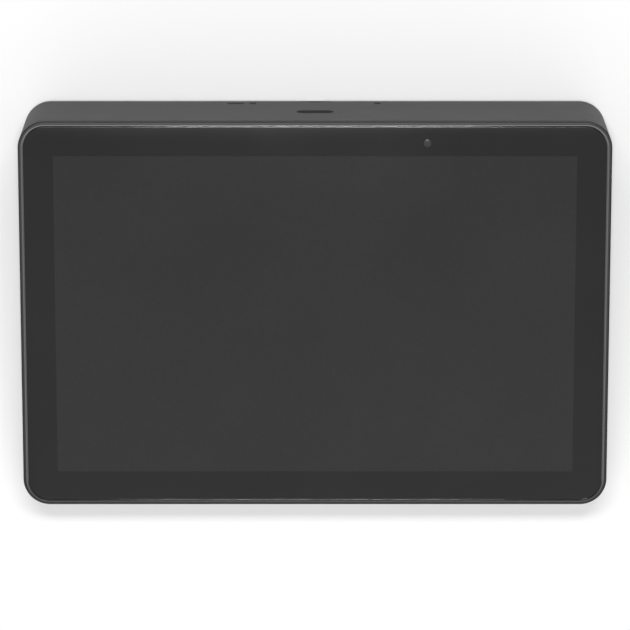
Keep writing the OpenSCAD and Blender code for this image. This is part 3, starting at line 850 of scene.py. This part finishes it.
@dataclass(frozen=True)
class FlexFilm(Finish):
    """Amber film with parallel copper lines.

    Attributes:
        colour: Colour of the film.
        copper: Colour of the lines.
        pitch: Distance between the lines.
    """

    colour: Colour = (0.42, 0.19, 0.035)
    copper: Colour = (0.62, 0.3, 0.12)
    pitch: float = 0.8 * MM

    def paint(self, graph: Paint) -> None:
        """Paints the surface.

        Args:
            graph: The new material's graph.
        """
        graph.fix(IOR=1.6, Coat_Weight=0.5, Coat_Roughness=0.2)
        line_share, line_edge = 0.5, (0.2, 0.26)
        across = graph.add("SeparateXYZ", {0: graph.place()}).outputs["X"]
        lane = graph.maths("FRACT", graph.maths("DIVIDE", across, self.pitch))
        middle = graph.maths("ABSOLUTE", graph.maths("SUBTRACT", lane, 0.5))
        line = graph.span(middle, *line_edge, 1.0, 0.0)
        grain = graph.group(graph.effects.grain, Colour=rgba(self.colour), Roughness=0.36,
                            Grains_Per_Metre=1500.0, Contrast=0.12, Patches=0.25)
        colour = graph.blend(graph.times(line, line_share), grain["Colour"], rgba(self.copper))
        graph.join(colour, grain["Roughness"], Height=line, Strength=0.5, Distance=0.02 * MM)


@dataclass(frozen=True)
class FloorFinish(Finish):
    """Plain pale studio floor, clear from below so that the underside can be looked at.

    Attributes:
        colour: Its own colour.
        uneven: Least and greatest gain of the colour.
    """

    name: str = "studio_floor"
    colour: Colour = (0.83, 0.83, 0.83)
    uneven: tuple[float, float] = (0.99, 1.01)

    def paint(self, graph: Paint) -> None:
        """Paints the floor.

        Args:
            graph: The new material's graph.
        """
        graph.fix(Roughness=0.8)
        gain = graph.span(graph.noise(graph.place(), 3.0, 3.0), 0.2, 0.8, *self.uneven)
        graph.put(graph.scaled(self.colour, gain), graph.shader.inputs["Base Color"])
        clear = graph.add("BsdfTransparent")
        under = graph.add("NewGeometry").outputs["Backfacing"]
        both = graph.add("MixShader", {0: under, 1: graph.shader.outputs[0], 2: clear.outputs[0]})
        graph.put(both.outputs[0], graph.output.inputs[0])


# ---- The object ----


@dataclass
class Dresser:
    """Puts finishes on CAD nodes and on new pieces, and reports each one.

    Attributes:
        effects: The shared shader groups.
        made: Materials that have been made, by name.
    """

    effects: Effects
    made: dict[str, Material] = field(default_factory=dict)

    def material(self, finish: Finish) -> Material:
        """Makes a finish's material, or finds it if it has been made.

        Args:
            finish: The finish.

        Returns:
            Its material.
        """
        if finish.name not in self.made:
            graph = Paint(finish.name, self.effects)
            finish.paint(graph)
            self.made[finish.name] = graph.material
        return self.made[finish.name]

    def dress(self, finish: Finish, *nodes: str) -> None:
        """Gives carried-over CAD nodes their finish.

        Args:
            finish: The finish.
            *nodes: The CAD nodes' names.
        """
        for node in nodes:
            materials = frame["nodes"][node].data.materials
            materials.clear()
            materials.append(self.material(finish))
            LOG.info("node %s: %s", node, finish.name)

    def add_piece(self, piece: bpy.types.Object, slot: Slot, finish: Finish, *nodes: str) -> None:
        """Dresses a new piece of the case, and sets what it rides on and stands for.

        Args:
            piece: The new piece.
            slot: The record's material slot; not used.
            finish: Its finish.
            *nodes: CAD nodes that it replaces.
        """
        piece.data.materials.append(self.material(finish))
        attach(piece, "case")
        if nodes:
            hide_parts(*nodes)
        LOG.info("piece %s: %s, for %s", piece.name, finish.name, ", ".join(nodes) or "nothing")


GRAPHITE = MouldedPlastic("graphite_plastic", (0.05, 0.05, 0.05), 0.6, wear=0.05, dust=0.02, ior=1.33)
BASE_PLASTIC = MouldedPlastic("base_plastic", (0.034, 0.034, 0.035), 0.6, bump=0.06 * MM, wear=0.3)
BLACK_PLASTIC = MouldedPlastic("black_plastic", (0.02, 0.02, 0.021), 0.5, wear=0.3)
BADGE = MouldedPlastic("badge_plastic", (0.012, 0.012, 0.012), 0.75, ior=1.18)
NYLON = MouldedPlastic("natural_nylon", (0.7, 0.66, 0.56), 0.45)
EPOXY = MouldedPlastic("moulded_epoxy", (0.016, 0.016, 0.018), 0.42, grains=4200.0, wear=0.1)
FOAM = MouldedPlastic("black_foam", (0.015, 0.015, 0.015), 0.9, grains=1800.0, bump=0.1 * MM, dust=0.05)
RUBBER = MouldedPlastic("foot_rubber", (0.017, 0.017, 0.018), 0.78, grains=3400.0, wear=0.1)
GAP_FILLER = MouldedPlastic("gap_filler", (0.2, 0.26, 0.36), 0.85)
LIGHT_GUIDE = MouldedPlastic("light_guide", (0.6, 0.6, 0.58), 0.35)
DARK_FILM = MouldedPlastic("dark_film", (0.02, 0.021, 0.024), 0.18, bump=0.0)
SENSOR_WINDOW = MouldedPlastic("sensor_window", (0.026, 0.026, 0.028), 0.2, bump=0.0)
STEEL = SheetMetal("plated_steel", (0.52, 0.53, 0.54))
TIN = SheetMetal("tin_plate", (0.6, 0.6, 0.58), roughness=0.28, lines=1800.0)
ALUMINIUM = SheetMetal("bare_aluminium", (0.68, 0.69, 0.7), roughness=0.4)
BLACK_STEEL = SheetMetal("black_zinc", (0.13, 0.13, 0.135), roughness=0.38, stretch=(1.0, 1.0, 1.0))
PHOSPHATE = SheetMetal("black_phosphate", (0.075, 0.075, 0.078), roughness=0.6, stretch=(1.0, 1.0, 1.0))
BRASS = SheetMetal("brass", (0.6, 0.42, 0.16), roughness=0.3, stretch=(1.0, 1.0, 0.1))
BOARD = CircuitBoard("circuit_board")
FLEX = FlexFilm("flex_film")


@dataclass
class Assembly:
    """What every sub-assembly shares: what puts the finishes on it."""

    dresser: Dresser


@dataclass
class Screen(Assembly):
    """Rim, cover glass and the display stack behind it.

    Attributes:
        slope: The screen's frame.
        border: Width of the glass's dark border.
        glass_radius: Corner radius of the glass.
        glass_edge: Rounding of the glass's upper edge.
        sensor_radius: Radius of the sensor window.
        sensor_edge: Width of its soft edge, its depth in the glass and how far it stands proud.
        groove: Width of the groove round the glass.
        chamfer: Width of the chamfer on the rim's inner edge.
        chamfer_depth: Depth of that chamfer.
        rim_round: Rounding of the rim's outer edge.
        rim_depth: Depth of the rim frame.
        gasket: Thickness of the foam between the glass and the ledge.
        reach: How far the ledge reaches in from the rim's outer face.
        tongue: Outer inset, inner inset and depth of the tongue that locates the housing.
        boss: Outer radius, bore radius and edge chamfer of a screw boss.
        crisp: Edges of the rim that turn more than this many degrees stay crisp.
    """

    slope: Slope
    border: float = 12.4 * MM
    glass_radius: float = 9 * MM
    glass_edge: float = 0.25 * MM
    sensor_radius: float = 1.6 * MM
    sensor_edge: tuple[float, float, float] = (0.05 * MM, 0.2 * MM, 0.01 * MM)
    groove: float = 0.4 * MM
    chamfer: float = 0.45 * MM
    chamfer_depth: float = 0.16 * MM
    rim_round: float = 0.6 * MM
    rim_depth: float = 3.0 * MM
    gasket: float = 0.3 * MM
    reach: float = 7.0 * MM
    tongue: tuple[float, float, float] = (2.4 * MM, 3.7 * MM, 0.8 * MM)
    boss: tuple[float, float, float] = (2.7 * MM, 1.05 * MM, 0.2 * MM)
    crisp: float = 13.0

    def build(self) -> None:
        """Builds and dresses the sub-assembly."""
        self.glass()
        self.sensor_window()
        self.rim()
        self.dresser.dress(FOAM, "glass_gasket", "backlight_pads")
        self.dresser.dress(DARK_FILM, "touch_sensor", "lcd_cell")
        self.dresser.dress(LIGHT_GUIDE, "lcd_backlight")
        self.dresser.dress(STEEL, "chassis_plate")
        self.dresser.dress(BOARD, "sensor_board")
        self.dresser.dress(FLEX, "touch_flex", "lcd_flex")

    def rim(self) -> None:
        """Builds the rim frame: its face, cut chamfer, ledge and locating tongue, and its bosses."""
        low, high = self.slope.box_of("rim_frame")
        glass_low, glass_high = self.slope.box_of("cover_glass")
        face = high.z
        ledge = glass_low.z - self.gasket
        under = face - self.rim_depth
        band = high.x - glass_high.x - self.groove
        rounding = self.rim_round
        outer, inner, deep = self.tongue
        profile = [(self.reach, under), (inner, under), (inner, under - deep)]
        profile += [(outer, under - deep), (outer, under), (0.0, under)]
        profile += arc(rounding, face - rounding, rounding, 0, 90, steps=8)
        profile += [(band - self.chamfer, face), (band, face - self.chamfer_depth)]
        profile += [(band, ledge), (self.reach, ledge)]
        radius = self.glass_radius + band + self.groove
        size = high - low
        ring = Lathe(size.x, size.y, radius, profile, steps=24, ring=True, sharp=self.crisp)
        piece = ring.build("rim_band", self.slope.matrix())
        self.dresser.add_piece(piece, Slot.RIM, self.rim_finish(), "rim_frame")
        self.bosses(low.z, under)

    def bosses(self, foot: float, top: float) -> None:
        """Builds the six screw bosses under the rim, each round its own screw.

        Args:
            foot: Height of their lower ends in the screen's frame.
            top: Height of their upper ends.
        """
        outer, bore, soft = self.boss
        profile = [(soft, foot), (0.0, foot + soft), (0.0, top), (outer - bore, top)]
        profile += [(outer - bore, foot + soft), (outer - bore - soft, foot)]
        tube = Lathe(2 * outer, 2 * outer, outer, profile, steps=8, ring=True)
        turn = self.slope.matrix().inverted()
        for count, (low, high) in enumerate(islands("frame_screws"), 1):
            middle = turn @ ((low + high) / 2)
            place = self.slope.matrix() @ Matrix.Translation((middle.x, middle.y, 0.0))
            piece = tube.build(f"rim_boss_{count}", place)
            self.dresser.add_piece(piece, Slot.RIM, ALUMINIUM)

    def rim_finish(self) -> RimMetal:
        """The rim's finish.

        Returns:
            A finish with the chamfer placed by the rim's outline.
        """
        size = self.slope.size_of("rim_frame")
        rim = (size.x - self.slope.size_of("cover_glass").x) / 2
        cut_inset = rim - self.groove - self.chamfer
        half = (size.x / 2, size.y / 2)
        return RimMetal("rim_metal", self.slope, half, self.glass_radius + rim, cut_inset)

    def finish(self, size: Vector) -> ScreenGlass:
        """The glass's finish, with the picture inside the border."""
        return ScreenGlass("screen_glass", self.slope, (size.x / 2 - self.border, size.y / 2 - self.border))

    def glass(self) -> None:
        """Builds the cover glass with a rounded upper edge and a small lower chamfer."""
        size = self.slope.size_of("cover_glass")
        half = size.z / 2
        edge = self.glass_edge
        profile = [(edge * 0.5, -half), (0.0, -half + edge * 0.5), (0.0, half - edge)]
        profile += arc(edge, half - edge, edge, 0, 90, steps=6)[1:]
        pane = Lathe(size.x, size.y, self.glass_radius, profile, steps=20)
        piece = pane.build("glass_pane", self.slope.matrix())
        self.dresser.add_piece(piece, Slot.GLASS, self.finish(size), "cover_glass")

    def sensor_window(self) -> None:
        """Builds the small round window over the light sensor, flush with the glass."""
        low, high = self.slope.box_of("sensor_board")
        top = self.slope.size_of("cover_glass").z / 2
        soft, depth, proud = self.sensor_edge
        wide = 2 * self.sensor_radius
        disc = Lathe(wide, wide, wide / 2, [(0.0, -depth), (0.0, 0.0), (soft, proud)], steps=8)
        place = self.slope.matrix() @ Matrix.Translation(((low.x + high.x) / 2, (low.y + high.y) / 2, top))
        self.dresser.add_piece(disc.build("sensor_window_lens", place), Slot.FILM, SENSOR_WINDOW)


@dataclass
class Housing(Assembly):
    """The wedge-shaped shell with its blank badge and lock plate."""

    def build(self) -> None:
        """Dresses the sub-assembly."""
        self.dresser.dress(GRAPHITE, "housing")
        self.dresser.dress(BADGE, "blank_badge")
        self.dresser.dress(STEEL, "lock_plate")


@dataclass
class Base(Assembly):
    """The base pan, its ballast and its rubber feet.

    Attributes:
        foot_edge: Rounding of the feet's lower edges.
        top_edge: Chamfer of their upper edges.
        channel_share: Half width of the channel in each foot, as a share of the foot's width.
        channel_depth: Depth of that channel.
    """

    foot_edge: float = 0.5 * MM
    top_edge: float = 0.1 * MM
    channel_share: float = 0.22
    channel_depth: float = 0.25 * MM

    def build(self) -> None:
        """Builds and dresses the sub-assembly."""
        self.dresser.dress(BASE_PLASTIC, "base_pan")
        self.dresser.dress(PHOSPHATE, "ballast_plate")
        for node in ("front_foot", "rear_foot_left", "rear_foot_right"):
            self.foot(node)

    def foot(self, node: str) -> None:
        """Builds one rubber strip with rounded lower edges and a shallow channel along it.

        Args:
            node: The CAD node that the strip replaces.
        """
        low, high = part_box(node)
        size = high - low
        edge = self.foot_edge
        middle, deep = size.y / 2, self.channel_depth
        wide = size.y * self.channel_share
        profile = [(middle - wide / 2, deep), (middle - wide, deep), (middle - wide - deep, 0.0)]
        profile += arc(edge, edge, edge, -90, 0, steps=4)
        profile += [(0.0, size.z - self.top_edge), (self.top_edge, size.z)]
        strip = Lathe(size.x, size.y, size.y / 2, profile, steps=12)
        place = Matrix.Translation(((low.x + high.x) / 2, (low.y + high.y) / 2, low.z))
        self.dresser.add_piece(strip.build(node + "_strip", place), Slot.RUBBER, RUBBER, node)


@dataclass
class CableBay(Assembly):
    """The bay's tub, door and clamp."""

    def build(self) -> None:
        """Dresses the sub-assembly."""
        self.dresser.dress(BLACK_PLASTIC, "bay_tub", "cable_clamp")
        self.dresser.dress(BASE_PLASTIC, "bay_door")


@dataclass
class Electronics(Assembly):
    """The main board and what is on it."""

    def build(self) -> None:
        """Dresses the sub-assembly."""
        self.dresser.dress(BOARD, "main_board")
        self.dresser.dress(EPOXY, "processor", "board_parts")
        self.dresser.dress(GAP_FILLER, "thermal_pad")
        self.dresser.dress(TIN, "shield_can", "wireless_module", "usb_c_socket", "hdmi_socket")
        self.dresser.dress(ALUMINIUM, "heat_spreader")
        self.dresser.dress(NYLON, "flex_connectors")


@dataclass
class Fasteners(Assembly):
    """Every kind of screw, and the brass inserts."""

    kinds: tuple[str, ...] = ("frame", "base", "board", "spreader", "ballast", "tub", "clamp")

    def build(self) -> None:
        """Dresses the sub-assembly."""
        self.dresser.dress(BLACK_STEEL, *(kind + "_screws" for kind in self.kinds))
        self.dresser.dress(BRASS, "thread_inserts")


# ---- The studio ----


@dataclass(frozen=True)
class SoftLight:
    """A rectangular area light.

    Attributes:
        name: Its name.
        where: Its centre.
        size: Its width and height.
        radiance: How bright its surface is; a white floor in full light is about 1.
    """

    name: str
    where: tuple[float, float, float]
    size: tuple[float, float]
    radiance: float

    def hang(self, target: Vector) -> None:
        """Adds the light to the scene.

        Args:
            target: The point that it faces.
        """
        data = bpy.data.lights.new(self.name, "AREA")
        data.shape = "RECTANGLE"
        data.size, data.size_y = self.size
        data.energy = math.pi * self.radiance * self.size[0] * self.size[1]
        light = bpy.data.objects.new(self.name, data)
        light.location = self.where
        light.rotation_euler = (target - Vector(self.where)).to_track_quat("-Z", "Y").to_euler()
        bpy.context.scene.collection.objects.link(light)
        LOG.info("light %s: %.0f W", self.name, data.energy)


LIGHTS = (
    SoftLight("overhead_light", (0.0, -0.2, 2.9), (0.36, 0.36), 98.0),
    SoftLight("back_light", (0.0, 1.4, 2.35), (2.4, 0.75), 6.2),
)


@dataclass
class Studio(Assembly):
    """Pale floor, soft light and a camera straight above the screen.

    Attributes:
        slope: The screen's frame.
        distance: Height of the camera above the middle of the glass.
        lens: Focal length in millimetres.
        floor_size: Side of the floor.
        horizon: Brightness of the room at the horizon.
        zenith: Brightness of the room overhead.
        lean: How much brighter the room is at the back; below 0 the front is brighter.
        least: Least brightness anywhere.
        under: Brightness below the horizon, which only views from under the floor see.
        blur: Height over which the horizon turns from one to the other.
    """

    slope: Slope
    distance: float = 1.69
    lens: float = 231.1
    floor_size: float = 12.0
    horizon: float = 0.55
    zenith: float = 0.3
    lean: float = -0.65
    least: float = 0.08
    under: float = 0.9
    blur: float = 0.02

    def build(self) -> None:
        """Sets up the whole studio."""
        self.camera()
        self.floor()
        for light in LIGHTS:
            light.hang(self.slope.centre)
        self.world()
        scene = bpy.context.scene
        scene.view_settings.view_transform = "Standard"
        scene.view_settings.look = "None"

    def camera(self) -> None:
        """Places the camera straight above the middle of the glass, looking down."""
        data = bpy.data.cameras.new("camera")
        data.lens = self.lens
        data.clip_end = 4 * self.floor_size
        camera = bpy.data.objects.new("camera", data)
        camera.location = self.slope.centre + Vector((0, 0, self.distance))
        bpy.context.scene.collection.objects.link(camera)
        bpy.context.scene.camera = camera

    def floor(self) -> None:
        """Lays the floor under the feet."""
        mesh = bmesh.new()
        bmesh.ops.create_grid(mesh, x_segments=2, y_segments=2, size=self.floor_size / 2)
        floor = finish_mesh(mesh, "floor", Matrix.Identity(4))
        floor.data.materials.append(self.dresser.material(FloorFinish()))

    def world(self) -> None:
        """Fills the room with pale light that gets darker overhead."""
        world = bpy.data.worlds.new("studio")
        bpy.context.scene.world = world
        world.use_nodes = True
        graph = Graph(world.node_tree)
        graph.tree.nodes.clear()
        parts = graph.add("SeparateXYZ", {0: graph.add("TexCoord").outputs["Generated"]}).outputs
        height = graph.span(parts["Z"], 0.0, 1.0, self.horizon, self.zenith)
        lean = graph.times(parts["Y"], self.lean)
        above = graph.maths("MAXIMUM", graph.maths("ADD", height, lean), self.least)
        below = graph.span(parts["Z"], -self.blur, 0.0, self.under, 0.0)
        strength = graph.maths("MAXIMUM", above, below)
        background = graph.add("Background", {"Color": (1.0, 1.0, 1.0, 1.0), "Strength": strength})
        graph.add("OutputWorld", {0: background.outputs[0]})


def main() -> None:
    """Builds the studio, then every sub-assembly in order."""
    logging.basicConfig(level=logging.INFO, format="%(name)s: %(message)s")
    slope = Slope.of_frame(frame["record"])
    dresser = Dresser(Effects())
    Studio(dresser, slope).build()
    plain = [kind(dresser) for kind in (Housing, Base, CableBay, Electronics, Fasteners)]
    for part in (Screen(dresser, slope), *plain):
        part.build()
        LOG.info("%s is done", type(part).__name__)


if __name__ == "__main__":
    main()
